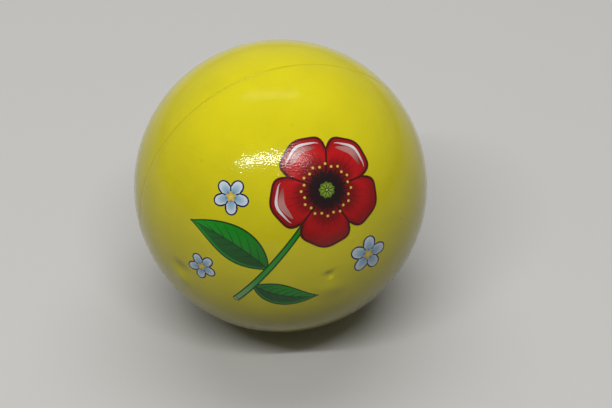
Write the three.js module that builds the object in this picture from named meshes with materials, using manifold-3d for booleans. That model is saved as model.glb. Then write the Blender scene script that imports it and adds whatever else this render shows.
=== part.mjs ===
// Soft foam toy ball with a printed poppy.
// A solid foam core is moulded inside a tough coat. The coat is laid in the two halves of the mould,
// so it is a front and a back shell that meet at the parting line. The print is thin films of ink on
// the front shell, one for each island of colour, and each follows the ball's double curve.
// Millimetres, +Z up. The origin is the centre of the ball. The parting plane is y = 0, and the front
// half, which has the vent mark at its pole and the print above it, faces -Y.

import * as THREE from "three";
import { mergeVertices } from "three/addons/utils/BufferGeometryUtils.js";
import Module from "manifold-3d";

// Ball
const ballDiameter = 63;
const skinWall = 0.8;
const bondGap = 0.05;

// Mould line, the fine groove where the rims of the two halves of the coat roll in to meet
const grooveWidth = 0.5;
const grooveDepth = 0.12;

// Vent mark, a shallow dish at the front pole
const ventDiameter = 2.4;
const ventDepth = 0.3;

// Print, placed by the tilt of its centre from the front pole
const inkThickness = 0.12;
const inkSeparation = 0.35;
const printLift = THREE.MathUtils.degToRad(26);
const printSwing = THREE.MathUtils.degToRad(14);

// Poppy. Places on the print are arc lengths from its centre, to the right and upwards
const poppyPlace = new THREE.Vector2(7.5, 5.5);
const poppyRadius = 12;
const poppyTurn = THREE.MathUtils.degToRad(14);
const poppyPetals = 5;
const poppyNotch = 3.4;
const poppyRuffle = 0.3;
const poppyHeartRadius = 3.6;
const poppyHeartTooth = 0.45;
const poppyHeartTeeth = 12;

// Stem, from under the bloom to its foot
const stemBend = new THREE.Vector2(-3, -9);
const stemFoot = new THREE.Vector2(-13, -20);
const stemWidthTop = 1.1;
const stemWidthFoot = 1.7;

// Leaves, which leave the stem at a share of its length and bow to one side
const upperLeaf = {
  share: 0.62,
  heading: THREE.MathUtils.degToRad(148),
  length: 20,
  width: 8.2,
  bow: -2.6,
};
const lowerLeaf = {
  share: 0.8,
  heading: THREE.MathUtils.degToRad(-14),
  length: 15,
  width: 6.2,
  bow: -2.4,
};

// Small blue flowers
const smallPetals = 5;
const smallNotchShare = 0.42;
const upperFlower = { right: -12.5, up: 5, radius: 4, turn: THREE.MathUtils.degToRad(17) };
const rightFlower = { right: 17, up: -10.5, radius: 4.6, turn: THREE.MathUtils.degToRad(52) };
const leftFlower = { right: -20.5, up: -12, radius: 3.6, turn: THREE.MathUtils.degToRad(6) };

// Facets
const facetsAround = 56;
const outerRings = 14;
const innerRings = 9;
const ventRings = 3;
const rimSteps = 3;
const petalSteps = 14;
const smallPetalSteps = 8;
const toothSteps = 3;
const bladeSteps = 12;

// Colours
const lemonSkin = 0xe6dc0a;
const paleFoam = 0xefe7a0;
const poppyRed = 0xb01218;
const darkMaroon = 0x3a0710;
const leafGreen = 0x1f8a2c;
const paleBlue = 0xc4dcea;

// Values that follow from the sizes above
const quarter = Math.PI / 2;
const fullTurn = 2 * Math.PI;
const ballRadius = ballDiameter / 2;
const skinInnerRadius = ballRadius - skinWall;
const coreRadius = skinInnerRadius - bondGap;
const ventAngle = Math.asin(ventDiameter / 2 / ballRadius);
const grooveAngle = grooveWidth / 2 / ballRadius;
const inkInnerRadius = ballRadius + bondGap;
const inkOuterRadius = inkInnerRadius + inkThickness;
const cutterInnerRadius = 0.8 * ballRadius;
const cutterOuterRadius = 1.5 * ballRadius;

// The print's own directions: out of the ball at its centre, up, and to the right
const printOut = new THREE.Vector3(
  -Math.sin(printSwing) * Math.cos(printLift),
  -Math.cos(printSwing) * Math.cos(printLift),
  Math.sin(printLift),
);
const worldUp = new THREE.Vector3(0, 0, 1);
const printUp = worldUp.clone().projectOnPlane(printOut).normalize();
const printRight = new THREE.Vector3().crossVectors(printUp, printOut);

const wasm = await Module();
wasm.setup();

// A point of a profile that is turned about Y. The angle starts at the pole on the given side
function onProfile(radius, angle, side) {
  return new THREE.Vector2(radius * Math.sin(angle), side * radius * Math.cos(angle));
}

// The angles of the rings between a pole and the parting plane, both left out
function ringAngles(count) {
  const angles = [];
  for (let ring = 1; ring < count; ring += 1) {
    angles.push((quarter * ring) / count);
  }
  return angles;
}

// A solid turned about Y. The profile runs with the solid on its left, seen with X to the right
function revolve(profile) {
  const geometry = new THREE.LatheGeometry(profile, facetsAround);
  geometry.deleteAttribute("uv");
  geometry.deleteAttribute("normal");
  return mergeVertices(geometry);
}

// The profile inside the coat, from the parting plane to the pole
function innerWall(side) {
  const wall = [new THREE.Vector2(skinInnerRadius, 0)];
  for (const angle of ringAngles(innerRings).reverse()) {
    wall.push(onProfile(skinInnerRadius, angle, side));
  }
  wall.push(new THREE.Vector2(0, side * skinInnerRadius));
  return wall;
}

// The shallow dish of the vent mark, from its middle to its rim
function ventDish(side) {
  const dish = [];
  for (let ring = 0; ring < ventRings; ring += 1) {
    const share = ring / ventRings;
    const depth = (ventDepth * (1 + Math.cos(Math.PI * share))) / 2;
    dish.push(onProfile(ballRadius - depth, ventAngle * share, side));
  }
  dish.push(onProfile(ballRadius, ventAngle, side));
  dish[0].x = 0;
  return dish;
}

// One side of the mould line, a quarter of an ellipse from the surface in to the parting plane
function rolledRim(side) {
  const rim = [];
  for (let step = 0; step < rimSteps; step += 1) {
    const turn = (quarter * step) / rimSteps;
    const depth = grooveDepth * (1 - Math.cos(turn));
    rim.push(onProfile(ballRadius - depth, quarter - grooveAngle * (1 - Math.sin(turn)), side));
  }
  rim.push(new THREE.Vector2(ballRadius - grooveDepth, 0));
  return rim;
}

// One half of the coat. The front half starts in its vent mark, and the back half at a plain pole
function skinHalf(side, pole) {
  const outer = [...pole];
  for (const angle of ringAngles(outerRings)) {
    outer.push(onProfile(ballRadius, angle, side));
  }
  const profile = [...outer, ...rolledRim(side), ...innerWall(side)];
  return revolve(side < 0 ? profile : profile.reverse());
}

function foamCore() {
  const front = innerWall(-1).reverse();
  const back = innerWall(1);
  const profile = [...front, ...back.slice(1)];
  return revolve(profile.map((point) => point.multiplyScalar(coreRadius / skinInnerRadius)));
}

// The sheet that the ink films are cut from. It has the facets of the front shell, a bond gap above it
function inkSheet() {
  const angles = [ventAngle, ...ringAngles(outerRings)];
  const outer = angles.map((angle) => onProfile(inkOuterRadius, angle, -1));
  const inner = angles.map((angle) => onProfile(inkInnerRadius, angle, -1)).reverse();
  const outerPole = new THREE.Vector2(0, -inkOuterRadius);
  const innerPole = new THREE.Vector2(0, -inkInnerRadius);
  return solidOf(revolve([outerPole, ...outer, ...inner, innerPole]));
}

// A closed mesh as a solid that can be cut
function solidOf(geometry) {
  const corners = geometry.index.array;
  const kept = [];
  for (let at = 0; at < corners.length; at += 3) {
    const [a, b, c] = corners.subarray(at, at + 3);
    if (a !== b && b !== c && c !== a) {
      kept.push(a, b, c);
    }
  }
  const mesh = new wasm.Mesh({
    numProp: 3,
    vertProperties: new Float32Array(geometry.attributes.position.array),
    triVerts: new Uint32Array(kept),
  });
  return new wasm.Manifold(mesh);
}

function geometryOf(solid) {
  const mesh = solid.getMesh();
  const geometry = new THREE.BufferGeometry();
  geometry.setAttribute("position", new THREE.BufferAttribute(mesh.vertProperties, 3));
  geometry.setIndex(new THREE.BufferAttribute(mesh.triVerts, 1));
  return geometry;
}

// The point at this radius over a place on the print, which keeps its distance from the print's centre
function overPrint(right, up, radius) {
  const reach = Math.hypot(right, up);
  const angle = reach / ballRadius;
  const spread = reach > 0 ? Math.sin(angle) / reach : 0;
  const point = printOut.clone().multiplyScalar(Math.cos(angle));
  point.addScaledVector(printRight, right * spread);
  point.addScaledVector(printUp, up * spread);
  return point.multiplyScalar(radius);
}

// A flat outline on the print as a block that runs through the skin, with every wall aimed at the centre
function block(outline) {
  const settings = { depth: 1, bevelEnabled: false };
  const geometry = new THREE.ExtrudeGeometry(new THREE.Shape(outline), settings);
  const places = geometry.attributes.position;
  for (let at = 0; at < places.count; at += 1) {
    const radius = THREE.MathUtils.lerp(cutterInnerRadius, cutterOuterRadius, places.getZ(at));
    const point = overPrint(places.getX(at), places.getY(at), radius);
    places.setXYZ(at, point.x, point.y, point.z);
  }
  geometry.deleteAttribute("uv");
  geometry.deleteAttribute("normal");
  return solidOf(mergeVertices(geometry));
}

// A round outline whose radius is given for each share of a turn
function roundOutline(place, turn, steps, radiusAt) {
  const outline = [];
  for (let step = 0; step < steps; step += 1) {
    const share = step / steps;
    const angle = turn + fullTurn * share;
    const radius = radiusAt(share);
    const x = place.x + radius * Math.cos(angle);
    const y = place.y + radius * Math.sin(angle);
    outline.push(new THREE.Vector2(x, y));
  }
  return outline;
}

// How far a share of a turn is from the middle of its petal, from 0 there to 1 in the notch
function acrossPetal(share, petals) {
  const withinPetal = (share * petals) % 1;
  return Math.abs(2 * withinPetal - 1);
}

function poppyBlock(grow) {
  const radiusAt = (share) => {
    const across = acrossPetal(share, poppyPetals);
    const notch = poppyNotch * across ** 5;
    const ruffle = poppyRuffle * Math.cos(fullTurn * across);
    return poppyRadius + grow - notch + ruffle;
  };
  return block(roundOutline(poppyPlace, poppyTurn, poppyPetals * petalSteps, radiusAt));
}

// The dark heart of the poppy, with a toothed rim
function heartBlock(grow) {
  const radiusAt = (share) => {
    const tooth = poppyHeartTooth * Math.cos(fullTurn * poppyHeartTeeth * share);
    return poppyHeartRadius + grow + tooth;
  };
  return block(roundOutline(poppyPlace, poppyTurn, poppyHeartTeeth * toothSteps, radiusAt));
}

function smallFlowerBlock(flower) {
  const radiusAt = (share) => {
    const notch = smallNotchShare * acrossPetal(share, smallPetals) ** 2;
    return flower.radius * (1 - notch);
  };
  const place = new THREE.Vector2(flower.right, flower.up);
  return block(roundOutline(place, flower.turn, smallPetals * smallPetalSteps, radiusAt));
}

// An outline along a curve, half as wide each side as widthAt says for each share of its length
function bladeOutline(curve, widthAt) {
  const left = [];
  const right = [];
  for (let step = 0; step <= bladeSteps; step += 1) {
    const share = step / bladeSteps;
    const middle = curve.getPoint(share);
    const along = curve.getTangent(share);
    const across = new THREE.Vector2(-along.y, along.x).multiplyScalar(widthAt(share) / 2);
    left.push(middle.clone().add(across));
    right.unshift(middle.clone().sub(across));
  }
  return [...left, ...right];
}

function stemCurve() {
  return new THREE.QuadraticBezierCurve(poppyPlace, stemBend, stemFoot);
}

function stemBlock(grow) {
  const widthAt = (share) => THREE.MathUtils.lerp(stemWidthTop, stemWidthFoot, share) + 2 * grow;
  return block(bladeOutline(stemCurve(), widthAt));
}

// A lance-shaped leaf. Its base is as wide as the stem, inside it, and its tip is nearly a point
function leafBlock(leaf, grow) {
  const base = stemCurve().getPoint(leaf.share);
  const along = new THREE.Vector2(Math.cos(leaf.heading), Math.sin(leaf.heading));
  const aside = new THREE.Vector2(-along.y, along.x);
  const tip = base.clone().addScaledVector(along, leaf.length + grow);
  const bend = base.clone().addScaledVector(along, leaf.length / 2).addScaledVector(aside, leaf.bow);
  const least = stemWidthTop / 2 + 2 * grow;
  const widthAt = (share) => {
    const swell = Math.sin(Math.PI * share ** 0.8);
    return Math.max(least * (1 - share / 2), leaf.width * swell + 2 * grow);
  };
  return block(bladeOutline(new THREE.QuadraticBezierCurve(base, bend, tip), widthAt));
}

function greeneryBlock(grow) {
  const leaves = [upperLeaf, lowerLeaf].map((leaf) => leafBlock(leaf, grow));
  return leaves.reduce((joined, leaf) => joined.add(leaf), stemBlock(grow));
}

const ball = new THREE.Group();

function addPiece(name, geometry, colour, roughness) {
  geometry.computeVertexNormals();
  const material = new THREE.MeshStandardMaterial({ color: colour, roughness, metalness: 0 });
  const mesh = new THREE.Mesh(geometry, material);
  mesh.name = name;
  ball.add(mesh);
}

const foamRoughness = 0.9;
const skinRoughness = 0.4;
const inkRoughness = 0.3;
const plainPole = [new THREE.Vector2(0, ballRadius)];

addPiece("foam_core", foamCore(), paleFoam, foamRoughness);
addPiece("skin_front", skinHalf(-1, ventDish(-1)), lemonSkin, skinRoughness);
addPiece("skin_back", skinHalf(1, plainPole), lemonSkin, skinRoughness);

const sheet = inkSheet();

function addInk(name, outline, colour) {
  addPiece(name, geometryOf(sheet.intersect(outline)), colour, inkRoughness);
}

// Each colour stops short of the ones before it by the separation, as the inks are registered
const poppy = poppyBlock(inkSeparation);
const greenery = greeneryBlock(inkSeparation);
addInk("ink_poppy_heart", heartBlock(0), darkMaroon);
addInk("ink_poppy_petals", poppyBlock(0).subtract(heartBlock(inkSeparation)), poppyRed);
addInk("ink_stem_and_leaves", greeneryBlock(0).subtract(poppy), leafGreen);

function addSmallFlower(name, flower) {
  addInk(name, smallFlowerBlock(flower).subtract(poppy).subtract(greenery), paleBlue);
}

addSmallFlower("ink_blue_flower_upper", upperFlower);
addSmallFlower("ink_blue_flower_right", rightFlower);
addSmallFlower("ink_blue_flower_left", leftFlower);

export default ball;
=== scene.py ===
# %% [markdown]
# # A soft foam toy ball with a flower print
# The real ball is one moulding of polyurethane foam. A tough coat is sprayed into both halves of a
# mould, the mould is closed, and the foam rises inside and bonds to the coat. Where the halves meet, a
# fine mould line is left, and at one pole the mark of the vent. Then the ball is pad printed, one
# colour of ink after another. This lesson follows the same order: coat, core, then the inks.
# Every size is in metres in the scene, so a value in millimetres is written times `mm`. Only the
# flat layout of the print is in plain millimetres.

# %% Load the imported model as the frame
import math

import bmesh
import bpy
from mathutils import Matrix, Vector, noise


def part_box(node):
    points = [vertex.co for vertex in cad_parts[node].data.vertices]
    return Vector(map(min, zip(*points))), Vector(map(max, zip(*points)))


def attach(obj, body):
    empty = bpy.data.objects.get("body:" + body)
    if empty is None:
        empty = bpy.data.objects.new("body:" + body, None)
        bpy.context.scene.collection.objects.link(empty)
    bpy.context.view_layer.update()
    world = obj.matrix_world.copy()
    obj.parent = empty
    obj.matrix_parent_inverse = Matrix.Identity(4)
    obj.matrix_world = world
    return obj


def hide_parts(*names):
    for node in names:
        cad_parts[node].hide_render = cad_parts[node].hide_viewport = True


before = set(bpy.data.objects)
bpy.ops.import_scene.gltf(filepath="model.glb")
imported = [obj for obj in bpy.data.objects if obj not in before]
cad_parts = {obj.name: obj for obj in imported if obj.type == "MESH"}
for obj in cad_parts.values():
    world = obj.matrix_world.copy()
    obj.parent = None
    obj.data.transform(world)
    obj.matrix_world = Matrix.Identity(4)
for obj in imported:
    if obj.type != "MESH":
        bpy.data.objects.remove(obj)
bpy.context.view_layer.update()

mm = 0.001

# %% [markdown]
# ## Sizes
# The CAD solids give the ball's own sizes, so nothing has to be fitted: the back half of the coat
# reaches the ball's full radius at its pole, and the core reaches its own radius there. The mould line
# and the vent mark are too fine to measure on the facets, so they are written out again. The line is
# drawn shallower than the solids' groove, because the photograph hardly shades it.

# %% Take the ball's sizes from the frame
ball_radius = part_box("skin_back")[1].y
core_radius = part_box("foam_core")[1].y
bond_gap = 0.05 * mm
coat_inner_radius = core_radius + bond_gap
groove_width = 0.5 * mm
groove_depth = 0.07 * mm
vent_diameter = 2.4 * mm
vent_depth = 0.3 * mm
print("ball radius", round(ball_radius / mm, 3), "coat", round((ball_radius - coat_inner_radius) / mm, 3))

# %% [markdown]
# ## Camera
# The photograph was taken from a little to the left of the ball's front pole, looking down at it. A
# sphere shows its turn only through its mould line and vent mark. Both fit this azimuth and elevation,
# seen from about 18 radii away. The outline's place and size in the picture then give the lens and the
# aim, so nothing is shifted.

# %% Place the camera
photo_width = 612
photo_height = 408
outline_x = 280.7
outline_y = 185.8
outline_radius = 146.5
camera_azimuth = math.radians(-18.7)
camera_elevation = math.radians(38.6)
camera_distance = 18 * ball_radius
sensor_width_mm = 36

focal_pixels = outline_radius / math.tan(math.asin(ball_radius / camera_distance))
towards_camera = Vector((
    math.sin(camera_azimuth) * math.cos(camera_elevation),
    -math.cos(camera_azimuth) * math.cos(camera_elevation),
    math.sin(camera_elevation),
))
level = (-towards_camera).to_track_quat("-Z", "Y")
metres_per_pixel = camera_distance / focal_pixels
aside = (photo_width / 2 - outline_x) * metres_per_pixel
below = (photo_height / 2 - outline_y) * metres_per_pixel
camera_place = towards_camera * camera_distance
aim = level @ Vector((aside, -below, 0))
camera_turn = (aim - camera_place).to_track_quat("-Z", "Y")

camera_data = bpy.data.cameras.new("camera")
camera_data.sensor_width = sensor_width_mm
camera_data.lens = focal_pixels * sensor_width_mm / photo_width
camera = bpy.data.objects.new("camera", camera_data)
camera.rotation_mode = "QUATERNION"
camera.location = camera_place
camera.rotation_quaternion = camera_turn
bpy.context.scene.collection.objects.link(camera)
bpy.context.scene.camera = camera
bpy.context.scene.view_settings.view_transform = "Standard"
print("lens in mm:", round(camera_data.lens, 1))

# %% [markdown]
# Some small marks on the skin are known only by their pixels in the photograph. A ray from the camera
# through such a pixel meets the ball at the mark, and only its direction from the centre is kept, so
# the mark sits on the skin from every side.

# %% Find the direction on the ball that lies under a pixel
def under_pixel(x, y):
    """The direction from the ball's centre to the point of the ball that this pixel shows."""
    to_right = (x - photo_width / 2) / focal_pixels
    to_top = (photo_height / 2 - y) / focal_pixels
    ray = (camera_turn @ Vector((to_right, to_top, -1))).normalized()
    nearest = -camera_place.dot(ray)
    miss_squared = camera_place.length_squared - nearest ** 2
    depth = nearest - math.sqrt(ball_radius ** 2 - miss_squared)
    return (camera_place + ray * depth).normalized()


print("under the outline's centre:", [round(c, 3) for c in under_pixel(outline_x, outline_y)])
print("towards the camera:", [round(c, 3) for c in towards_camera])

# %% [markdown]
# ## The skin's relief
# A foam moulding is never a true sphere. The foam shrinks a little unevenly as it cools, so the skin
# has low, broad swells that bend the reflections. It also has a few marks: the nick and the lip at the
# vent, a crease low on the left, small dents and pits, and a bump and a ridge that catch the light. It
# also sinks a little beside the mould line. Each mark is a long, soft bump or dent between two pixels,
# and the sunk ones are painted darker, partly grime and partly painted shade. One function gives the
# height of the skin over a true sphere in any direction. The coat and every film of ink are raised by
# it, so they always fit.

# %% Describe the swells and marks of the skin
swell_width = 13 * mm
swell_height = 0.05 * mm
ripple_width = 4.5 * mm
ripple_height = 0.008 * mm
seam_width = 0.9 * mm
seam_sink = 0.05 * mm
front_pole = Vector((0, -1, 0))


def mark(first, last, width, height, grime_and_shade=0):
    """A soft dent between two pixels, or a bump where the height is above 0, and its share of grime and
    painted shade.
    """
    start, end = under_pixel(*first), under_pixel(*last)
    middle = (start + end).normalized()
    span = end - start
    along = span.normalized()
    return {
        "at": middle,
        "along": along * (2 / span.length),
        "across": middle.cross(along) * (2 * ball_radius / width),
        "height": height,
        "grime_and_shade": grime_and_shade,
    }


# Where a mark gives a share of grime, the skin is painted darker there: painted shade of the hollow,
# partly grime.
marks = {
    "vent_nick": mark((323, 275), (335, 270), 1.0 * mm, -0.15 * mm, 0.6),
    "vent_lip": mark((321, 286), (342, 289), 4.0 * mm, 0.27 * mm),
    "crease": mark((174, 260), (188, 270), 2.2 * mm, -0.21 * mm, 0.55),
    "crease_lip": mark((175, 271), (190, 283), 3.8 * mm, 0.36 * mm),
    "left_dent": mark((351, 243), (355, 241), 0.9 * mm, -0.03 * mm, 0.12),
    "lower_dent": mark((353, 254), (360, 250), 1.1 * mm, -0.04 * mm, 0.2),
    "right_dent": mark((361, 243), (367, 240), 0.9 * mm, -0.03 * mm, 0.15),
    "shiny_bump": mark((275, 177), (282, 175), 1.2 * mm, 0.075 * mm),
    "shiny_ridge": mark((287, 179), (296, 176), 0.7 * mm, 0.06 * mm),
    "left_pit": mark((200, 161), (203, 161), 0.6 * mm, -0.03 * mm, 0.25),
    "middle_pit": mark((269, 124), (271, 124), 0.8 * mm, -0.02 * mm, 0.12),
    "right_pit": mark((291, 125), (293, 126), 0.5 * mm, -0.02 * mm, 0.2),
}
mark_reach = math.cos(math.radians(14))


def nearness(direction, spot):
    """1 in the middle of a mark, and nothing away from it."""
    if direction.dot(spot["at"]) < mark_reach:
        return 0
    return math.exp(-direction.dot(spot["along"]) ** 2 - direction.dot(spot["across"]) ** 2)


def grime_and_shade(direction):
    """The share of the skin's colour that is painted darker in this direction, partly grime and partly
    painted shade.
    """
    return min(1, sum(spot["grime_and_shade"] * nearness(direction, spot) for spot in marks.values()))


def relief(direction):
    """How far the skin stands above a true sphere in this direction."""
    swell = noise.noise(direction * (ball_radius / swell_width)) * swell_height
    ripple = noise.noise(direction * (ball_radius / ripple_width)) * ripple_height
    beside_seam = direction.y * ball_radius / seam_width
    height = swell + ripple - seam_sink * math.exp(-beside_seam ** 2)
    from_pole = math.acos(max(-1, min(1, direction.dot(front_pole)))) * ball_radius
    if from_pole < vent_diameter / 2:
        height -= vent_depth * (1 + math.cos(2 * math.pi * from_pole / vent_diameter)) / 2
    for spot in marks.values():
        height += spot["height"] * nearness(direction, spot)
    return height


print("marks on the skin:", len(marks))

# %% [markdown]
# ## Helpers for materials
# Colours are written as sRGB hex values, as a paint chart or a picture editor gives them. Shaders work
# in linear light, so one function turns them. Another adds a node, with its settings and its links,
# because that is the same few lines for every node.

# %% Turn a hex colour to linear light, and add a node
def linear(colour):
    """An sRGB hex colour as the linear red, green, blue and alpha that a shader takes."""
    shares = [int(colour[at:at + 2], 16) / 255 for at in (1, 3, 5)]
    return [s / 12.92 if s <= 0.04045 else ((s + 0.055) / 1.055) ** 2.4 for s in shares] + [1]


def add_node(tree, kind, settings, links):
    """Adds a node. Each link is an input with either a value or another node's output."""
    node = tree.nodes.new(kind)
    for name, value in settings.items():
        setattr(node, name, value)
    for socket, source in links.items():
        if isinstance(source, bpy.types.NodeSocket):
            tree.links.new(source, node.inputs[socket])
        else:
            node.inputs[socket].default_value = source
    return node


def new_material(name):
    """An empty material with its tree and its Principled shader, already joined to the output."""
    material = bpy.data.materials.new(name)
    material.use_nodes = True
    tree = material.node_tree
    tree.nodes.clear()
    shader = add_node(tree, "ShaderNodeBsdfPrincipled", {}, {})
    add_node(tree, "ShaderNodeOutputMaterial", {}, {"Surface": shader.outputs["BSDF"]})
    return material, tree, shader


print("lemon in linear light:", [round(c, 3) for c in linear("#E0D408")[:3]])

# %% [markdown]
# ## The mould's grain
# The mould is lightly blasted, so the coat has a fine grain, a little over 0.5 mm from bump to bump. It
# breaks the lamp's reflection into a band of sparkles. The bumps are about a hundredth of a millimetre
# high, so they are a bump in the material. The inks are much thinner than the coat and follow its
# grain, so coat and inks take their normals from the same pattern on Object coordinates. A noise
# texture's cell is about two thirds of the distance between two of its bumps.

# %% Make the grain that the coat and the inks share
grain_width = 0.55 * mm
grain_height = 0.0265 * mm
peel_width = 2.5 * mm
peel_height = 0.012 * mm
cell_share = 0.67


def grain_normal(tree):
    """The normal of the moulded grain: fine bumps on a slightly coarser orange peel."""
    place = add_node(tree, "ShaderNodeTexCoord", {}, {}).outputs["Object"]
    fine = add_node(tree, "ShaderNodeTexNoise", {}, {
        "Vector": place,
        "Scale": 1 / (cell_share * grain_width),
        "Detail": 0,
    })
    coarse = add_node(tree, "ShaderNodeTexNoise", {}, {
        "Vector": place,
        "Scale": 1 / (cell_share * peel_width),
        "Detail": 0,
    })
    peel = add_node(tree, "ShaderNodeBump", {}, {
        "Height": coarse.outputs["Fac"],
        "Distance": peel_height,
        "Strength": 1,
    })
    grain = add_node(tree, "ShaderNodeBump", {}, {
        "Height": fine.outputs["Fac"],
        "Distance": grain_height,
        "Strength": 1,
        "Normal": peel.outputs["Normal"],
    })
    return grain.outputs["Normal"]


print("grain in mm:", round(grain_width / mm, 2))

# %% [markdown]
# ## The coat's material
# The coat is pigmented polyurethane, sprayed in the mould. That gives a strong, even lemon yellow with
# hardly any cloudiness, a satin gloss that handling polishes in places, and here and there a pinhole
# where a bubble touched the mould, painted as a dark dot, which is painted shade. The mould line is
# painted as a fine, slightly darker line, partly grime and partly painted shade of its groove, and so
# are the marks, which give their share of it as a vertex attribute.
# Nearly all of a noise texture's values lie between the two called low and high here.

# %% Colour the coat
noise_low = 0.35
noise_high = 0.65
lemon_deep = "#DDD105"
lemon_light = "#E4D806"
pinhole_painted_shade = "#8F8504"
mottle_width = 9 * mm
pinhole_spacing = 11 * mm
pinhole_reach = 0.022


def pigment_colour(tree, place, mottle):
    """Lemon yellow, a little cloudy, with a pinhole here and there painted dark as painted shade."""
    pigment = add_node(tree, "ShaderNodeValToRGB", {}, {"Fac": mottle})
    pigment.color_ramp.elements[0].position = noise_low
    pigment.color_ramp.elements[0].color = linear(lemon_deep)
    pigment.color_ramp.elements[1].position = noise_high
    pigment.color_ramp.elements[1].color = linear(lemon_light)
    # A pinhole has no hole in the mesh; its dark dot is painted shade.
    pores = add_node(tree, "ShaderNodeTexVoronoi", {}, {"Vector": place, "Scale": 1 / pinhole_spacing})
    pinhole = add_node(tree, "ShaderNodeMath", {"operation": "LESS_THAN"}, {
        0: pores.outputs["Distance"],
        1: pinhole_reach,
    })
    dotted = add_node(tree, "ShaderNodeMix", {"data_type": "RGBA"}, {
        0: pinhole.outputs[0],
        6: pigment.outputs["Color"],
        7: linear(pinhole_painted_shade),
    })
    return dotted.outputs[2]


print("pinholes about every", round(pinhole_spacing / mm), "mm")

# %% [markdown]
# The mould line is the plane y = 0, so its darkening, partly grime and partly painted shade of the
# groove, depends only on the distance from that plane. It comes and goes along the line with the same
# slow noise that clouds the pigment.

# %% Darken the mould line and the marks with grime and painted shade
line_half_width = 0.32 * mm
least_line_grime_and_shade = 0.05
most_line_grime_and_shade = 0.25


def grime_and_shade_share(tree, place, mottle):
    """How much of the colour is painted darker, in the mould line and in the marks: grime and painted
    shade.
    """
    sides = add_node(tree, "ShaderNodeSeparateXYZ", {}, {"Vector": place})
    from_line = add_node(tree, "ShaderNodeMath", {"operation": "ABSOLUTE"}, {0: sides.outputs["Y"]})
    patchy = add_node(tree, "ShaderNodeMapRange", {}, {
        "Value": mottle,
        "From Min": noise_low,
        "From Max": noise_high,
        "To Min": least_line_grime_and_shade,
        "To Max": most_line_grime_and_shade,
    })
    in_line = add_node(tree, "ShaderNodeMapRange", {}, {
        "Value": from_line.outputs[0],
        "From Min": line_half_width,
        "From Max": line_half_width / 2,
        "To Min": 0,
        "To Max": patchy.outputs[0],
    })
    in_marks = add_node(tree, "ShaderNodeAttribute", {"attribute_name": "grime_and_shade"}, {})
    darkened_share = add_node(tree, "ShaderNodeMath", {"operation": "MAXIMUM"}, {
        0: in_line.outputs[0],
        1: in_marks.outputs["Fac"],
    })
    return darkened_share.outputs[0]


print("grime is", round(2 * line_half_width / mm, 2), "mm wide along the mould line")

# %% Make the coat's material
# This colour darkens the mould line and the marks: partly grime, partly painted shade.
grime_and_shade_colour = "#8A8006"
smudge_width = 17 * mm
polished_roughness = 0.07
satin_roughness = 0.1
coat_ior = 1.45


def coat_material():
    """In-mould coated polyurethane, satin, lemon yellow."""
    material, tree, shader = new_material("polyurethane_skin_lemon_satin")
    place = add_node(tree, "ShaderNodeTexCoord", {}, {}).outputs["Object"]
    mottle = add_node(tree, "ShaderNodeTexNoise", {}, {
        "Vector": place,
        "Scale": 1 / mottle_width,
        "Detail": 3,
    }).outputs["Fac"]
    colour = add_node(tree, "ShaderNodeMix", {"data_type": "RGBA"}, {
        0: grime_and_shade_share(tree, place, mottle),
        6: pigment_colour(tree, place, mottle),
        7: linear(grime_and_shade_colour),
    })
    smudge = add_node(tree, "ShaderNodeTexNoise", {}, {
        "Vector": place,
        "Scale": 1 / smudge_width,
        "Detail": 2,
    })
    polish = add_node(tree, "ShaderNodeMapRange", {}, {
        "Value": smudge.outputs["Fac"],
        "From Min": noise_low,
        "From Max": noise_high,
        "To Min": polished_roughness,
        "To Max": satin_roughness,
    })
    shader.inputs["IOR"].default_value = coat_ior
    tree.links.new(colour.outputs[2], shader.inputs["Base Color"])
    tree.links.new(polish.outputs[0], shader.inputs["Roughness"])
    tree.links.new(grain_normal(tree), shader.inputs["Normal"])
    return material


coat = coat_material()
print("material", coat.name, "with", len(coat.node_tree.nodes), "nodes")

# %% [markdown]
# ## Finishing a piece
# Every piece ends the same way. Its faces are turned outwards and shaded smooth, except over sharp
# edges, its mesh is stored with its material, it rides on the body root of the frame, and the CAD
# solids that it stands for, if any, are hidden.

# %% Finish a piece
sharp_angle = math.radians(40)


def add_piece(name, bm, material, replaced):
    """Turns a bmesh, in metres and in its place, into a finished piece of the ball."""
    bmesh.ops.recalc_face_normals(bm, faces=bm.faces[:])
    for face in bm.faces:
        face.smooth = True
    for edge in bm.edges:
        edge.smooth = edge.calc_face_angle(0) < sharp_angle
    mesh = bpy.data.meshes.new(name)
    bm.to_mesh(mesh)
    bm.free()
    mesh.materials.append(material)
    piece = bpy.data.objects.new(name, mesh)
    bpy.context.scene.collection.objects.link(piece)
    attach(piece, "root")
    if replaced:
        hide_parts(*replaced)
    print(name, len(mesh.polygons), "faces")
    return piece


# %% [markdown]
# ## The two halves of the coat
# A half could be cut from a sphere primitive, but its rim needs rings where the mould line is, and
# its pole needs rings in the vent mark. So one profile is drawn and turned. A single vertex at the
# pole is spun into an arc, the rim is drawn in point by point along a quarter of an ellipse, the
# vertex is taken inwards by the thickness of the coat, and spun back to the pole. The profile is spun
# about the mould's axis to a wedge, and the wedge is copied round to close the shell, which is much
# quicker than one long spin. Then the relief is pressed into it.

# %% Draw and spin one half of the coat
segments_around = 480
wedges = 12
pole_turn = math.radians(3.75)
pole_rings = 15
wide_rings = 115
rim_steps = 6
inner_rings = 20
quarter_turn = math.pi / 2
groove_angle = groove_width / 2 / ball_radius
parting_gap = 0.01 * mm
same_point = 0.0001 * mm


def spin_vertex(bm, tip, axis, angle, steps):
    """Spins one vertex about the ball's centre and gives back the last vertex of the arc."""
    made = bmesh.ops.spin(bm, geom=[tip], cent=(0, 0, 0), axis=axis, angle=angle, steps=steps)
    return [item for item in made["geom_last"] if isinstance(item, bmesh.types.BMVert)][0]


def draw_to(bm, tip, place):
    """Draws an edge from the vertex to a place and gives back the vertex there."""
    drawn = bmesh.ops.extrude_vert_indiv(bm, verts=[tip])["verts"][0]
    drawn.co = place
    return drawn


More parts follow.
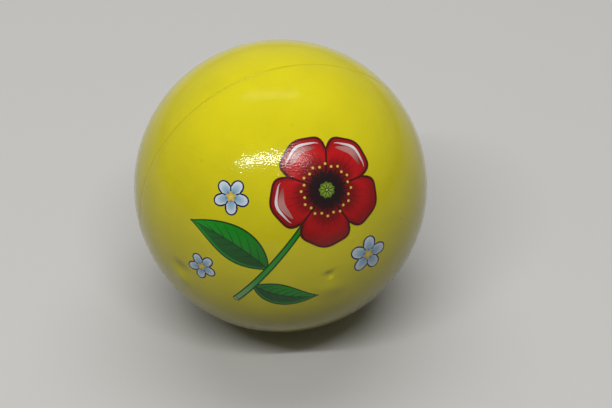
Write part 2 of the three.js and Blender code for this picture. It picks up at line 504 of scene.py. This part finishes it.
def coat_half(name, side, replaced):
    """A closed shell on the side of the parting plane where y has this sign."""
    bm = bmesh.new()
    # Each vertex of the skin keeps how much the marks paint it darker: grime and painted shade.
    grime_and_shade_layer = bm.verts.layers.float.new("grime_and_shade")
    tip = bm.verts.new((0, side * ball_radius, 0))
    tip = spin_vertex(bm, tip, (side, 0, 0), pole_turn, pole_rings)
    tip = spin_vertex(bm, tip, (side, 0, 0), quarter_turn - groove_angle - pole_turn, wide_rings)
    for step in range(1, rim_steps + 1):
        turn = quarter_turn * step / rim_steps
        radius = ball_radius - groove_depth * (1 - math.cos(turn))
        above = groove_angle * (1 - math.sin(turn))
        y = side * (radius * math.sin(above) + parting_gap)
        tip = draw_to(bm, tip, (0, y, radius * math.cos(above)))
    tip = draw_to(bm, tip, (0, side * parting_gap, coat_inner_radius))
    back = quarter_turn - math.atan(parting_gap / coat_inner_radius)
    spin_vertex(bm, tip, (-side, 0, 0), back, inner_rings)

    wedge_turn = 2 * math.pi / wedges
    profile = bm.verts[:] + bm.edges[:]
    bmesh.ops.spin(bm, geom=profile, cent=(0, 0, 0), axis=(0, 1, 0), angle=wedge_turn,
                   steps=segments_around // wedges)
    wedge = bm.verts[:] + bm.edges[:] + bm.faces[:]
    bmesh.ops.spin(bm, geom=wedge, cent=(0, 0, 0), axis=(0, 1, 0), angle=wedge_turn * (wedges - 1),
                   steps=wedges - 1, use_duplicate=True)
    bmesh.ops.remove_doubles(bm, verts=bm.verts[:], dist=same_point)
    mid_wall = (ball_radius + coat_inner_radius) / 2
    for vert in bm.verts:
        if vert.co.length > mid_wall:
            direction = vert.co.normalized()
            vert.co += direction * relief(direction)
            vert[grime_and_shade_layer] = grime_and_shade(direction)
    return add_piece(name, bm, coat, replaced)


coat_front = coat_half("coat_front_half", -1, ["skin_front"])
coat_back = coat_half("coat_back_half", 1, ["skin_back"])

# %% [markdown]
# ## The foam core
# The core fills the coat and never shows, unless the ball is cut open. It is open-cell foam, so its
# material is pale, quite matt and full of small round cells, whose hollows are painted darker as
# painted shade. Its solid already has the right shape, so an evenly divided ball takes its place, a
# hair smaller than the inside of the coat.

# %% Make the foam core
foam_hollow_shade = "#D9CF7E"
foam_light = "#F3ECB4"
cell_width = 0.7 * mm
cell_depth = 0.15 * mm
foam_roughness = 0.9
core_divisions = 6


def foam_material():
    """Open-cell polyurethane foam, unpigmented apart from what the coat lends it."""
    material, tree, shader = new_material("open_cell_polyurethane_foam_pale")
    place = add_node(tree, "ShaderNodeTexCoord", {}, {}).outputs["Object"]
    cells = add_node(tree, "ShaderNodeTexVoronoi", {}, {"Vector": place, "Scale": 1 / cell_width})
    # The middles of the cells, which are the bump's hollows, are painted darker: painted shade.
    tone = add_node(tree, "ShaderNodeValToRGB", {}, {"Fac": cells.outputs["Distance"]})
    tone.color_ramp.elements[0].color = linear(foam_hollow_shade)
    tone.color_ramp.elements[1].color = linear(foam_light)
    pits = add_node(tree, "ShaderNodeBump", {}, {
        "Height": cells.outputs["Distance"],
        "Distance": cell_depth,
        "Strength": 1,
    })
    tree.links.new(tone.outputs["Color"], shader.inputs["Base Color"])
    tree.links.new(pits.outputs["Normal"], shader.inputs["Normal"])
    shader.inputs["Roughness"].default_value = foam_roughness
    return material


core_mesh = bmesh.new()
bmesh.ops.create_icosphere(core_mesh, subdivisions=core_divisions, radius=core_radius)
core = add_piece("foam_core_ball", core_mesh, foam_material(), ["foam_core"])

# %% [markdown]
# ## Laying a flat print on the ball
# A pad printer picks the artwork up flat and presses it on the ball. The places of the print are arc
# lengths in millimetres, to the right and upwards, from the print's centre, and each keeps its
# distance from that centre on the ball. Every colour is a film of its own, and each later colour lies
# a hundredth of a millimetre higher. The films are drawn thicker than real ink, so that their shapes
# are geometry and stay crisp at any distance.

# %% Lay a point of the print on the ball
print_lift = math.radians(26)
print_swing = math.radians(14)
film_foot = -0.03 * mm
first_layer = 0.02 * mm
layer_step = 0.01 * mm

print_out = Vector((
    -math.sin(print_swing) * math.cos(print_lift),
    -math.cos(print_swing) * math.cos(print_lift),
    math.sin(print_lift),
))
print_right = Vector((0, 0, 1)).cross(print_out).normalized()
print_up = print_out.cross(print_right)


def over_print(right, up, height):
    """The point this high over the skin at a place of the print, which is given in millimetres."""
    reach = math.hypot(right, up) * mm
    angle = reach / ball_radius
    spread = math.sin(angle) * mm / reach if reach else 0
    direction = print_out * math.cos(angle) + (print_right * right + print_up * up) * spread
    return direction * (ball_radius + relief(direction) + height)


print("the print's centre looks towards", [round(c, 3) for c in print_out])

# %% [markdown]
# Each colour is made of patches. A patch starts as a flat grid of cells whose two coordinates, u and v,
# run from 0 to 1, and a place function says where each point of the grid goes on the print. That
# gives every shape even cells that follow the ball's curve, and its u and v stay on it as its own UV
# map, for gradients that follow a petal or a leaf. Then the flat film is extruded to a closed solid
# and laid on the ball.

# %% Make a film of ink from patches
def add_film(name, patches, layer, material, replaced=()):
    """One colour of the print. A patch is its count of cells along u and v, and its place function."""
    bm = bmesh.new()
    bm.loops.layers.uv.new("print")
    for along, across, place in patches:
        grid = bmesh.ops.create_grid(
            bm, x_segments=along, y_segments=across, size=0.5, calc_uvs=True)
        for vert in grid["verts"]:
            right, up = place(vert.co.x + 0.5, vert.co.y + 0.5)
            vert.co = (right, up, 0)
    bmesh.ops.remove_doubles(bm, verts=bm.verts[:], dist=same_point / mm)
    bmesh.ops.dissolve_degenerate(bm, edges=bm.edges[:], dist=same_point / mm)
    tops = bm.verts[:]
    bmesh.ops.extrude_face_region(bm, geom=bm.faces[:])
    height = first_layer + layer * layer_step
    raised = set(tops)
    for vert in bm.verts:
        vert.co = over_print(vert.co.x, vert.co.y, height if vert in raised else film_foot)
    return add_piece(name, bm, material, replaced)


# %% [markdown]
# ## Shapes of the print
# Two place functions draw nearly everything. A bloom is a disc whose radius changes with the angle,
# and a strip runs along a curve between a left and a right edge. The small ones below are made from
# them.

# %% Draw blooms and petals
blunt_end = 0.02
streak_roundness = 0.7
slope_step = 0.001


def bloom(centre, turn, radius_at):
    """A disc. u runs round it, and v from its centre to its edge."""
    def place(u, v):
        angle = turn + 2 * math.pi * u
        radius = radius_at(u) * v
        return centre[0] + radius * math.cos(angle), centre[1] + radius * math.sin(angle)
    return place


def petal(centre, turn, petals, which, radius_at, inner, line):
    """One petal inside its outline. u runs across it, v outwards, and a line's width is left free."""
    def place(u, v):
        share = (which + u) / petals
        rise = radius_at(share + slope_step) - radius_at(share - slope_step)
        slope = rise / (4 * math.pi * slope_step)
        edge = radius_at(share)
        outer = edge - line * math.hypot(1, slope / edge)
        radius = inner + (outer - inner) * v
        half = math.pi / petals - math.asin(line / 2 / radius)
        angle = turn + 2 * math.pi * (which + 0.5) / petals + (2 * u - 1) * half
        return centre[0] + radius * math.cos(angle), centre[1] + radius * math.sin(angle)
    return place


def part_of(place, across, outwards, widest):
    """A streak inside another shape, from one share across to another, about a share outwards."""
    def inside(u, v):
        width = widest * math.sin(math.pi * (blunt_end + (1 - 2 * blunt_end) * u)) ** streak_roundness
        return place(across[0] + (across[1] - across[0]) * u, outwards + (v - 0.5) * width)
    return inside


def oval(half_long, half_wide):
    """The radius of an oval disc for each share of a turn."""
    def radius_at(share):
        angle = 2 * math.pi * share
        return half_long * half_wide / math.hypot(half_wide * math.cos(angle), half_long * math.sin(angle))
    return radius_at


print("an oval's radii:", [round(oval(2, 1)(share), 2) for share in (0, 0.125, 0.25)])

# %% [markdown]
# A strip needs a curve, and an edge on each side of it. The edge is a function of the share of the
# curve's length, so that a stem can thicken and a vein can thin out.

# %% Draw strips
def curve_point(curve, share):
    """The point and the direction at a share of a curve that bends once, given by three points."""
    first, second = curve[0].lerp(curve[1], share), curve[1].lerp(curve[2], share)
    return first.lerp(second, share), (second - first).normalized()


def strip(curve, right_edge, left_edge, start=0, end=1):
    """A strip along a curve. Its edges are distances to the left of the curve, for each share of it."""
    def place(u, v):
        share = start + (end - start) * u
        middle, along = curve_point(curve, share)
        right, left = right_edge(share), left_edge(share)
        point = middle + Vector((-along.y, along.x)) * (right + (left - right) * v)
        return point.x, point.y
    return place


def narrowing(half, loss):
    """An edge that starts at this distance and has lost a share of it at the end."""
    return lambda share: half * (1 - loss * share)


def mirrored(edge):
    """The same edge on the other side of the curve."""
    return lambda share: -edge(share)


def ribbon(curve, edge, start=0, end=1):
    """A strip with the same edge on both sides."""
    return strip(curve, mirrored(edge), edge, start, end)


straight = [Vector((0, 0)), Vector((1, 0)), Vector((2, 0))]
print("a ribbon's middle:", ribbon(straight, narrowing(1, 0))(0.5, 0.5))

# %% [markdown]
# ## Inks
# Pad printing ink for soft foam is a pigmented polyurethane lacquer. It dries a little less smooth than
# the moulded coat, so the lamp's reflection turns from sparkles to a soft sheen on it. A gradient is
# printed as dots that are too fine to see, so here it is a colour ramp along the piece's own UV map. A
# slow noise varies the film, as its thickness varies on the real ball.

# %% Make an ink
film_width = 1.2 * mm
thinnest_film = 0.93
thinnest_at = 0.3
fullest_at = 0.7
ink_roughness = 0.2


def film_strength(tree, place):
    """How much of its colour the film shows, as it varies with the film's thickness."""
    uneven = add_node(tree, "ShaderNodeTexNoise", {}, {
        "Vector": place,
        "Scale": 1 / film_width,
        "Detail": 2,
    })
    strength = add_node(tree, "ShaderNodeMapRange", {}, {
        "Value": uneven.outputs["Fac"],
        "From Min": thinnest_at,
        "From Max": fullest_at,
        "To Min": thinnest_film,
        "To Max": 1.0,
    })
    return strength.outputs[0]


def darkened_low(tree, place, strength, painted_low_shade):
    """The strength, darkened from one height on the ball down to another: painted shade."""
    height = add_node(tree, "ShaderNodeSeparateXYZ", {}, {"Vector": place})
    low_shade_share = add_node(tree, "ShaderNodeMapRange", {"interpolation_type": "SMOOTHSTEP"}, {
        "Value": height.outputs["Z"],
        "From Min": painted_low_shade["low"],
        "From Max": painted_low_shade["high"],
        "To Min": painted_low_shade["least"],
        "To Max": 1.0,
    })
    both = add_node(tree, "ShaderNodeMath", {"operation": "MULTIPLY"}, {
        0: strength,
        1: low_shade_share.outputs[0],
    })
    return both.outputs[0]


def print_ink(name, stops, along="Y", painted_low_shade=None):
    """An ink whose colours follow u (X) or v (Y). A painted shade darkens it from one height down to
    another.
    """
    material, tree, shader = new_material(name)
    coordinates = add_node(tree, "ShaderNodeTexCoord", {}, {})
    flat = add_node(tree, "ShaderNodeSeparateXYZ", {}, {"Vector": coordinates.outputs["UV"]})
    ramp = add_node(tree, "ShaderNodeValToRGB", {}, {"Fac": flat.outputs[along]})
    ramp.color_ramp.interpolation = "EASE"
    while len(ramp.color_ramp.elements) < len(stops):
        ramp.color_ramp.elements.new(0.5)
    for element, (position, colour) in zip(ramp.color_ramp.elements, stops):
        element.position = position
        element.color = linear(colour)
    strength = film_strength(tree, coordinates.outputs["Object"])
    if painted_low_shade:
        strength = darkened_low(tree, coordinates.outputs["Object"], strength, painted_low_shade)
    colour = add_node(tree, "ShaderNodeVectorMath", {"operation": "SCALE"}, {
        0: ramp.outputs["Color"],
        "Scale": strength,
    })
    tree.links.new(colour.outputs[0], shader.inputs["Base Color"])
    tree.links.new(grain_normal(tree), shader.inputs["Normal"])
    shader.inputs["Roughness"].default_value = ink_roughness
    shader.inputs["IOR"].default_value = coat_ior
    return material


green_line_ink = print_ink("pad_ink_dark_green", [(0, "#04380E"), (1, "#063F12")])
maroon_line_ink = print_ink("pad_ink_maroon", [(0, "#3C0206"), (1, "#520408")])
navy_ink = print_ink("pad_ink_navy", [(0, "#081140"), (1, "#0D1B5A")])
print("line inks:", green_line_ink.name, maroon_line_ink.name, navy_ink.name)

# %% [markdown]
# ## Stem and leaves
# The stem leaves the bloom and bends down to the lower left. Each leaf leaves the stem at a share of
# its length and bows to one side. The dark line colour goes down first, over the whole leaf, and the
# lighter greens on top leave a narrow edge of it free, which is how a drawn outline is printed.

# %% Lay out the stem and the leaves
poppy_place = Vector((7.5, 5.5))
stem_curve = [poppy_place, Vector((-3, -9)), Vector((-13, -20))]
stem_width_top = 1.1
stem_width_foot = 1.7
leaves = [
    {"share": 0.62, "heading": 148, "length": 20, "width": 8.2, "bow": -2.6, "lit": 1},
    {"share": 0.8, "heading": -14, "length": 15, "width": 6.2, "bow": -2.4, "lit": -1},
]
green_line = 0.34
leaf_base_shift = 0.8
least_leaf_half = 0.02


def stem_half(share):
    """Half of the stem's width for each share of its length."""
    return (stem_width_top + (stem_width_foot - stem_width_top) * share) / 2


def leaf_curve(leaf):
    """The midrib of a leaf, from inside the stem to the tip."""
    base = curve_point(stem_curve, leaf["share"])[0]
    heading = math.radians(leaf["heading"])
    along = Vector((math.cos(heading), math.sin(heading)))
    over = Vector((-along.y, along.x))
    middle = base + along * (leaf["length"] / 2) + over * leaf["bow"]
    return [base, middle, base + along * leaf["length"]]


def leaf_half(leaf, line=0):
    """Half of the leaf's width for each share of its length, less the width of a line."""
    def half(share):
        least = stem_width_top / 2 * (1 - share / 2)
        width = max(least, leaf["width"] * math.sin(math.pi * share ** leaf_base_shift))
        return max(width / 2 - line, least_leaf_half)
    return half


print("leaves:", len(leaves), "on a stem", round((stem_curve[2] - stem_curve[0]).length, 1), "mm long")

# %% [markdown]
# The lighter side of a leaf is turned to the light and the darker side away from it, with a midrib
# between them and veins that leave it forwards, each a strip that thins towards its tip. A vein's
# root and tip are shares of the leaf's length, and it reaches most of the way to the leaf's edge.

# %% Draw the midrib and the veins of a leaf
rib_span = (0.03, 0.95)
rib_half = 0.16
rib_loss = 0.7
vein_count = 6
first_vein = 0.12
vein_stretch = 0.68
vein_lean = 0.17
vein_reach = 0.82
vein_bow = 0.25
vein_droop = 0.2
vein_half = 0.09
vein_loss = 0.8


def vein_strips(leaf):
    """The midrib and the veins of one leaf."""
    midrib = leaf_curve(leaf)
    half = leaf_half(leaf, green_line)
    strips = [(34, 1, ribbon(midrib, narrowing(rib_half, rib_loss), *rib_span))]
    for number in range(vein_count):
        root_share = first_vein + vein_stretch * number / vein_count
        tip_share = root_share + vein_lean
        root = curve_point(midrib, root_share)[0]
        middle, along = curve_point(midrib, tip_share)
        for side in (-1, 1):
            over = Vector((-along.y, along.x)) * side
            tip = middle + over * (half(tip_share) * vein_reach)
            bend = root.lerp(tip, 0.5) + over * vein_bow - along * vein_droop
            strips.append((8, 1, ribbon([root, bend, tip], narrowing(vein_half, vein_loss))))
    return strips


print("strips in a leaf:", len(vein_strips(leaves[0])))

# %% Print the leaves
leaf_cells = (34, 10)
fill_span = (0.02, 0.97)
shade_span = (0.06, 0.93)
shade_line = 2.4 * green_line
leaf_green = print_ink("pad_ink_leaf_green", [(0, "#0A7A14"), (0.5, "#0B9216"), (1, "#12A61E")], "X")
deep_green = print_ink("pad_ink_deep_green", [(0, "#045212"), (0.6, "#056017"), (1, "#07781B")], "X")
at_midrib = narrowing(0, 0)
leaf_lines = []
leaf_fills = []
leaf_shades = []
leaf_veins = []
for leaf in leaves:
    midrib = leaf_curve(leaf)
    shaded = leaf_half(leaf, shade_line)
    leaf_lines.append((*leaf_cells, ribbon(midrib, leaf_half(leaf))))
    leaf_fills.append((*leaf_cells, ribbon(midrib, leaf_half(leaf, green_line), *fill_span)))
    if leaf["lit"] > 0:
        shade = strip(midrib, at_midrib, shaded, *shade_span)
    else:
        shade = strip(midrib, mirrored(shaded), at_midrib, *shade_span)
    leaf_shades.append((30, 5, shade))
    leaf_veins.extend(vein_strips(leaf))

add_film("leaf_outline_ink", leaf_lines, 0, green_line_ink, ["ink_stem_and_leaves"])
add_film("leaf_green_ink", leaf_fills, 1, leaf_green)
add_film("leaf_shade_ink", leaf_shades, 2, deep_green)
add_film("leaf_vein_ink", leaf_veins, 3, green_line_ink)

# %% [markdown]
# The stem lies over the leaves' bases. Its foot is cut across, and the pale cut shows as an oval.

# %% Print the stem
stem_start = 0.2
stem_line = 0.3
cut_slant = 0.5
cut_line = 0.2
stem_green = print_ink("pad_ink_stem_green", [(0, "#0C8A16"), (0.6, "#2BA02E"), (1, "#86C67E")], "X")
cut_ink = print_ink("pad_ink_cut_stem", [(0, "#DCE9B4"), (1, "#B7D38C")])


def stem_inside(share):
    """Half of the stem's width inside its outline."""
    return stem_half(share) - stem_line


stem_outline = ribbon(stem_curve, stem_half, stem_start)
stem_fill = ribbon(stem_curve, stem_inside, stem_start)
foot, foot_along = curve_point(stem_curve, 1)
foot_turn = math.atan2(foot_along.y, foot_along.x)
cut_half = stem_half(1)
cut_edge = bloom(foot, foot_turn, oval(cut_slant * cut_half, cut_half))
cut_face = bloom(foot, foot_turn, oval(cut_slant * cut_half - cut_line, cut_half - cut_line))
add_film("stem_outline_ink", [(36, 2, stem_outline)], 4, green_line_ink)
add_film("stem_green_ink", [(36, 1, stem_fill)], 5, stem_green)
add_film("stem_cut_line_ink", [(32, 2, cut_edge)], 6, green_line_ink)
add_film("stem_cut_ink", [(32, 2, cut_face)], 7, cut_ink)

# %% [markdown]
# ## The poppy
# The big bloom has five ruffled petals. Its line colour is one film with the bloom's whole outline, and
# the red petals lie on it with a line's width between them. The red runs from nearly black at the heart
# to bright in the middle, and is darker low on the ball: painted shade.

# %% Print the petals
poppy_turn = math.radians(14)
poppy_radius = 12
poppy_petals = 5
poppy_notch = 3.4
poppy_breadth = 5
poppy_ruffle = 0.3
poppy_line = 0.45
petal_inner = 3.2


def across_petal(share, petals):
    """How far a share of a turn is from the middle of its petal: 0 there, and 1 in the notch."""
    return abs(2 * ((share * petals) % 1) - 1)


def poppy_edge(share):
    """The poppy's radius for each share of a turn. More breadth gives squarer petals."""
    across = across_petal(share, poppy_petals)
    notched = poppy_radius - poppy_notch * across ** poppy_breadth
    return notched + poppy_ruffle * math.cos(2 * math.pi * across)


petal_red = print_ink(
    "pad_ink_poppy_red",
    [(0, "#2E0104"), (0.28, "#8C0307"), (0.62, "#CB0A10"), (1, "#A50409")],
    # The red is painted darker low on the ball: painted shade.
    painted_low_shade={"low": -6 * mm, "high": 22 * mm, "least": 0.42},
)
poppy_shape = bloom(poppy_place, poppy_turn, poppy_edge)
petal_shapes = [
    petal(poppy_place, poppy_turn, poppy_petals, which, poppy_edge, petal_inner, poppy_line)
    for which in range(poppy_petals)
]
add_film("poppy_outline_ink", [(150, 13, poppy_shape)], 6, maroon_line_ink,
         ["ink_poppy_petals"])
add_film("poppy_petal_ink", [(26, 11, shape) for shape in petal_shapes], 7, petal_red)

# %% [markdown]
# A gloss is drawn on the petals that face the light: a broad pink band, and over it a thinner, nearly
# white line that follows the petal's edge. Fine darker veins run out from the heart.

# %% Print the gloss and the veins of the petals
pink_ink = print_ink("pad_ink_pink", [(0, "#9C4A46"), (0.5, "#C98A84"), (1, "#B97A76")], "X")
white_ink = print_ink("pad_ink_warm_white", [(0, "#D9C7C8"), (0.5, "#F2EAEA"), (1, "#DCCBCC")], "X")
glossy_petals = petal_shapes[:3]
band = {"across": (0.2, 0.82), "outwards": 0.76, "widest": 0.16}
streak = {"across": (0.12, 0.86), "outwards": 0.885, "widest": 0.07}
bands = [(18, 3, part_of(shape, **band)) for shape in glossy_petals]
streaks = [(20, 2, part_of(shape, **streak)) for shape in glossy_petals]
vein_places = (0.26, 0.42, 0.58, 0.74)
vein_start = 0.1
vein_length = 0.55
vein_width = 0.014
vein_narrowing = 0.75
vein_gather = 0.35


def petal_vein(shape, across):
    """A vein of a petal. It starts near the heart, drawn in towards the petal's middle."""
    def place(u, v):
        drawn_in = (0.5 - across) * vein_gather * (1 - u)
        width = vein_width * (1 - vein_narrowing * u)
        return shape(across + drawn_in + (v - 0.5) * width, vein_start + vein_length * u)
    return place


petal_veins = [(10, 1, petal_vein(shape, across)) for shape in petal_shapes for across in vein_places]
add_film("poppy_vein_ink", petal_veins, 8, maroon_line_ink)
add_film("poppy_gloss_band_ink", bands, 8, pink_ink)
add_film("poppy_gloss_line_ink", streaks, 9, white_ink)

# %% [markdown]
# The heart has a toothed rim, a ring of stamens on fine threads, and a ribbed seed pod in the middle,
# as real poppies have.

# %% Print the heart of the poppy
heart_radius = 3.6
heart_tooth = 0.45
heart_teeth = 12
pod_radius = 1.75
pod_scallop = 0.07
pod_ribs = 9
pod_rib_start = 0.25
pod_rib_end = 1.55
pod_rib_half = 0.1
pod_rib_loss = 0.5
stamens = 24
thread_start = 3.0
thread_reach = 4.9
thread_stagger = 0.5
thread_half = 0.07
anther_radius = 0.3


def heart_edge(share):
    """The heart's toothed edge."""
    return heart_radius + heart_tooth * math.cos(2 * math.pi * heart_teeth * share)


def pod_edge(share):
    """The seed pod's scalloped edge."""
    return pod_radius * (1 - pod_scallop + pod_scallop * math.cos(2 * math.pi * pod_ribs * share))


def spoke(inner, outer, share):
    """A straight curve outwards from the poppy's centre, at a share of a turn."""
    angle = poppy_turn + 2 * math.pi * share
    along = Vector((math.cos(angle), math.sin(angle)))
    return [poppy_place + along * radius for radius in (inner, (inner + outer) / 2, outer)]


heart_ink = print_ink("pad_ink_poppy_heart", [(0, "#12020A"), (0.7, "#1C030A"), (1, "#2A040A")])
pod_ink = print_ink("pad_ink_pod_green", [(0, "#A9C24A"), (0.7, "#7E9F2C"), (1, "#58781C")])
pollen_ink = print_ink("pad_ink_pollen_yellow", [(0, "#F4DE7A"), (1, "#DDB93E")])
threads = []
anthers = []
for number in range(stamens):
    reach = thread_reach + thread_stagger * (number % 2)
    thread = spoke(thread_start, reach, number / stamens)
    threads.append((3, 1, ribbon(thread, narrowing(thread_half, 0))))
    anthers.append((10, 1, bloom(thread[2], 0, narrowing(anther_radius, 0))))
ribs = []
for number in range(pod_ribs):
    rib = spoke(pod_rib_start, pod_rib_end, number / pod_ribs)
    ribs.append((3, 1, ribbon(rib, narrowing(pod_rib_half, pod_rib_loss))))
heart_shape = bloom(poppy_place, poppy_turn, heart_edge)
add_film("poppy_thread_ink", threads, 9, heart_ink)
add_film("poppy_heart_ink", [(96, 5, heart_shape)], 10, heart_ink, ["ink_poppy_heart"])
add_film("poppy_stamen_ink", anthers, 10, pollen_ink)
add_film("poppy_pod_ink", [(72, 3, bloom(poppy_place, poppy_turn, pod_edge))], 11, pod_ink)
add_film("poppy_pod_rib_ink", ribs, 12, heart_ink)

# %% [markdown]
# ## The small blue flowers
# Three small flowers fill the space round the poppy. Each is drawn like it, with a navy line film, five
# pale petals that are bluer towards the middle, and a yellow star.

# %% Print the small flowers
small_petals = 5
small_notch = 0.42
small_breadth = 2
small_line = 0.3
star_share = 0.24
star_points = 0.25
petal_foot = 0.14
small_flowers = {
    "upper": {"place": Vector((-12.5, 5)), "radius": 4, "turn": 17},
    "right": {"place": Vector((17, -10.5)), "radius": 4.6, "turn": 52},
    "left": {"place": Vector((-20.5, -12)), "radius": 3.6, "turn": 6},
}
blue_ink = print_ink("pad_ink_pale_blue", [(0, "#4F86B4"), (0.4, "#9DC3DC"), (1, "#E3EEF4")])


def add_small_flower(name, flower):
    """Three films: the navy line, the pale petals and the yellow star."""
    place, radius, turn = flower["place"], flower["radius"], math.radians(flower["turn"])

    def edge(share):
        return radius * (1 - small_notch * across_petal(share, small_petals) ** small_breadth)

    def star(share):
        return radius * star_share * (1 + star_points * math.cos(2 * math.pi * small_petals * share))

    petals = [
        (12, 5, petal(place, turn, small_petals, which, edge, radius * petal_foot, small_line))
        for which in range(small_petals)
    ]
    whole = bloom(place, turn, edge)
    node = f"ink_blue_flower_{name}"
    add_film(f"blue_flower_{name}_outline_ink", [(80, 5, whole)], 0, navy_ink, [node])
    add_film(f"blue_flower_{name}_petal_ink", petals, 1, blue_ink)
    add_film(f"blue_flower_{name}_star_ink", [(40, 2, bloom(place, turn, star))], 2, pollen_ink)


for name, flower in small_flowers.items():
    add_small_flower(name, flower)

# %% [markdown]
# ## Floor
# A plain, pale, matt floor lies under the ball at its lowest point. It isn't part of the object. It is
# pale to the camera, in reflections and through glass. To the rays that carry its light to the ball it
# is darker, so that the ball's sides and lower half fall off in shade as in the photograph.

# %% Lay the floor
floor_radius = 3
floor_sides = 96
floor_colour = "#CECDCA"
floor_bounce_colour = "#555453"
floor_roughness = 0.85


def seen_share(tree):
    """1 for rays of the camera, of reflections and through glass, and 0 for all others."""
    path = add_node(tree, "ShaderNodeLightPath", {}, {})
    direct = add_node(tree, "ShaderNodeMath", {"operation": "MAXIMUM"}, {
        0: path.outputs["Is Camera Ray"],
        1: path.outputs["Is Glossy Ray"],
    })
    seen = add_node(tree, "ShaderNodeMath", {"operation": "MAXIMUM"}, {
        0: direct.outputs[0],
        1: path.outputs["Is Transmission Ray"],
    })
    return seen.outputs[0]


floor_bm = bmesh.new()
bmesh.ops.create_circle(floor_bm, cap_ends=True, segments=floor_sides, radius=floor_radius)
bmesh.ops.translate(floor_bm, verts=floor_bm.verts[:], vec=(0, 0, -ball_radius))
floor_mesh = bpy.data.meshes.new("floor")
floor_bm.to_mesh(floor_mesh)
floor_bm.free()
floor_paint, floor_tree, floor_shader = new_material("matt_pale_studio_board")
floor_tone = add_node(floor_tree, "ShaderNodeMix", {"data_type": "RGBA"}, {
    0: seen_share(floor_tree),
    6: linear(floor_bounce_colour),
    7: linear(floor_colour),
})
floor_tree.links.new(floor_tone.outputs[2], floor_shader.inputs["Base Color"])
floor_shader.inputs["Roughness"].default_value = floor_roughness
floor_mesh.materials.append(floor_paint)
floor = bpy.data.objects.new("floor", floor_mesh)
bpy.context.scene.collection.objects.link(floor)
print("floor at", round(-ball_radius / mm, 2), "mm")

# %% [markdown]
# ## Light
# The photograph has one wide, low lamp above the camera, whose reflection is the band of sparkles, and
# light from above the back of the ball, which makes its top the brightest and leaves a faint arc there.
# Each is made of a narrow strip that reflections show and a big soft panel that they don't. A lamp's
# watts are worked out from how brightly it should light a white card that faces it, where 1 shows the
# card's colour as it is written. Each lamp has a direction along the camera's right, up and back, its
# angles across and high, and its tilt in the picture, in degrees.

# %% Place the lamps
lamp_distance = 0.8
front_strip = {"toward": (-0.117, 0.352, 0.929), "across": 50, "high": 1.9, "tilt": 3.4, "level": 0.52}
front_panel = {**front_strip, "high": 20, "level": 0.1}
back_strip = {"toward": (-0.08, 0.965, 0.26), "across": 34, "high": 0.7, "tilt": 0, "level": 0.018}
top_panel = {"toward": (0, 0.962, 0.267), "across": 60, "high": 40, "tilt": 0, "level": 0.53}


def add_lamp(name, lamp, shown=True):
    """A rectangular lamp that faces the ball. Reflections show it if it is shown."""
    direction = (level @ Vector(lamp["toward"])).normalized()
    tilt = math.radians(lamp["tilt"])
    across = level @ Vector((math.cos(tilt), math.sin(tilt), 0))
    high = direction.cross(across).normalized()
    across = high.cross(direction)
    data = bpy.data.lights.new(name, "AREA")
    data.shape = "RECTANGLE"
    data.size = 2 * lamp_distance * math.tan(math.radians(lamp["across"] / 2))
    data.size_y = 2 * lamp_distance * math.tan(math.radians(lamp["high"] / 2))
    data.energy = lamp["level"] * math.pi ** 2 * lamp_distance ** 2
    light = bpy.data.objects.new(name, data)
    light.rotation_mode = "QUATERNION"
    light.location = direction * lamp_distance
    light.rotation_quaternion = Matrix((across, high, direction)).transposed().to_quaternion()
    light.visible_glossy = shown
    bpy.context.scene.collection.objects.link(light)
    print(name, round(data.energy, 2), "W,", round(data.size, 2), "by", round(data.size_y, 3), "m")


add_lamp("front_strip", front_strip)
add_lamp("front_panel", front_panel, shown=False)
add_lamp("back_strip", back_strip)
add_lamp("top_panel", top_panel, shown=False)

# %% [markdown]
# The surround is a dim room, so that the ball's sides fall off in shade. The camera, reflections and
# anything seen through glass get a pale backdrop in its place.

# %% Make the surround
surround_level = 0.08
backdrop_level = 0.3
world = bpy.data.worlds.new("surround")
world.use_nodes = True
bpy.context.scene.world = world
world.node_tree.nodes.clear()
strength = add_node(world.node_tree, "ShaderNodeMapRange", {}, {
    "Value": seen_share(world.node_tree),
    "To Min": surround_level,
    "To Max": backdrop_level,
})
background = add_node(world.node_tree, "ShaderNodeBackground", {}, {"Strength": strength.outputs[0]})
background.inputs["Color"].default_value = (1, 1, 1, 1)
add_node(world.node_tree, "ShaderNodeOutputWorld", {}, {"Surface": background.outputs[0]})
print("the surround lights at", surround_level, "and shows at", backdrop_level)
